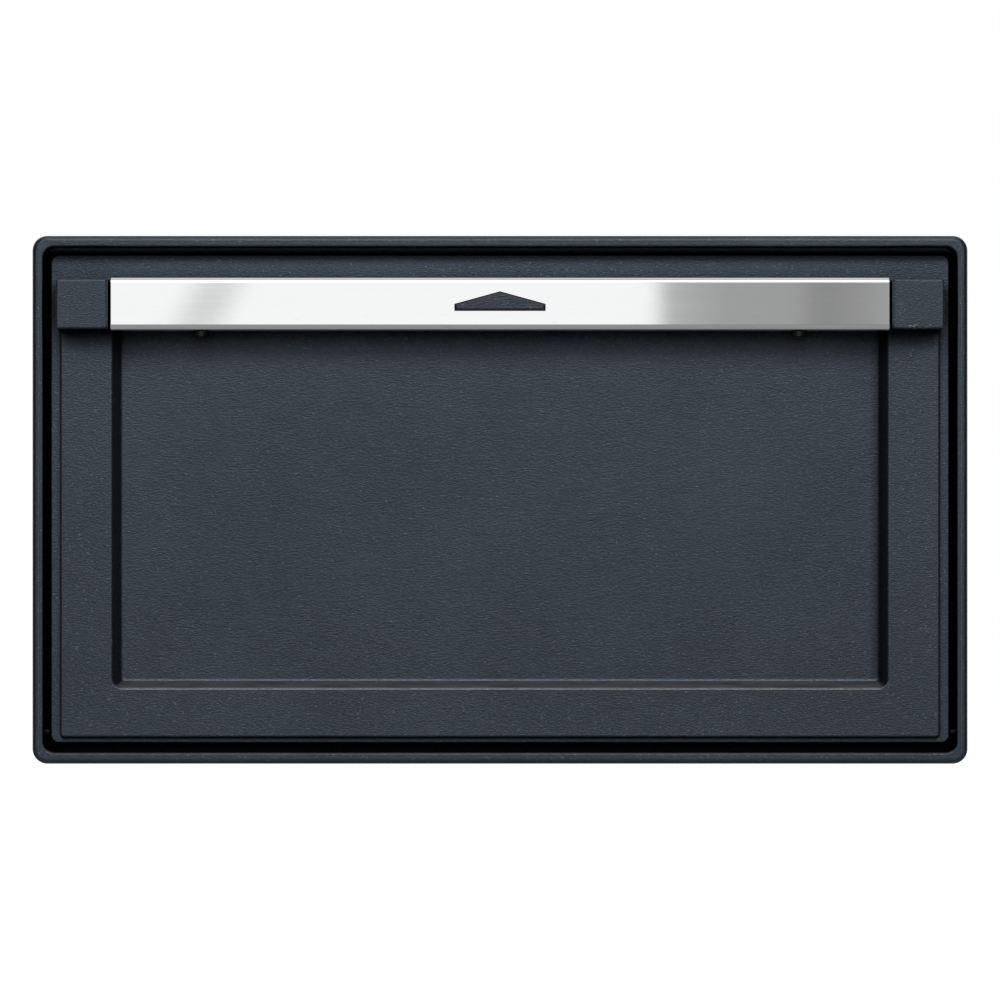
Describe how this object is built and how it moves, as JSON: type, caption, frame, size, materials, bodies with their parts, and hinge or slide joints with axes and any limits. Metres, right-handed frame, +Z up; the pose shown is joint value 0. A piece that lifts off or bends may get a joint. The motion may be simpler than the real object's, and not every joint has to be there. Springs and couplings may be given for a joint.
{
  "type": "ash pit door",
  "caption": "Cast-iron ash pit door: a leaf with a sloping recess, hinged along its lower edge in a rimmed frame with a collar, and a handle bar under a folded steel cover.",
  "frame": {"origin": "middle of the frame, in the plane of the wall's face", "axes": "+X to the right, +Y into the masonry, +Z up; the leaf faces -Y"},
  "size_m": [0.41, 0.069, 0.2318],
  "materials": {
    "black_iron": "sand-cast, black stove paint, satin",
    "steel_cover": "stainless, satin",
    "screw_steel": "black oxide",
    "pin_steel": "blackened",
    "spring_steel": "blued"
  },
  "bodies": {
    "frame": {"frame": "black_iron", "hinge_pin_left": "pin_steel", "hinge_pin_right": "pin_steel"},
    "leaf": {"leaf": "black_iron", "handle_bar": "black_iron", "handle_cover": "steel_cover", "cover_screw_left": "screw_steel", "cover_screw_right": "screw_steel", "handle_screw_left_upper": "screw_steel", "handle_screw_left_lower": "screw_steel", "handle_screw_right_upper": "screw_steel", "handle_screw_right_lower": "screw_steel", "catch_spring_left": "spring_steel", "catch_spring_right": "spring_steel", "catch_screw_left_upper": "screw_steel", "catch_screw_left_lower": "screw_steel", "catch_screw_right_upper": "screw_steel", "catch_screw_right_lower": "screw_steel"}
  },
  "joints": [
    {"name": "leaf_tilt", "type": "hinge", "parent": "frame", "child": "leaf", "pos_m": [0, -0.009, -0.10185], "axis": [1, 0, 0], "range_deg": [0, 90]}
  ]
}
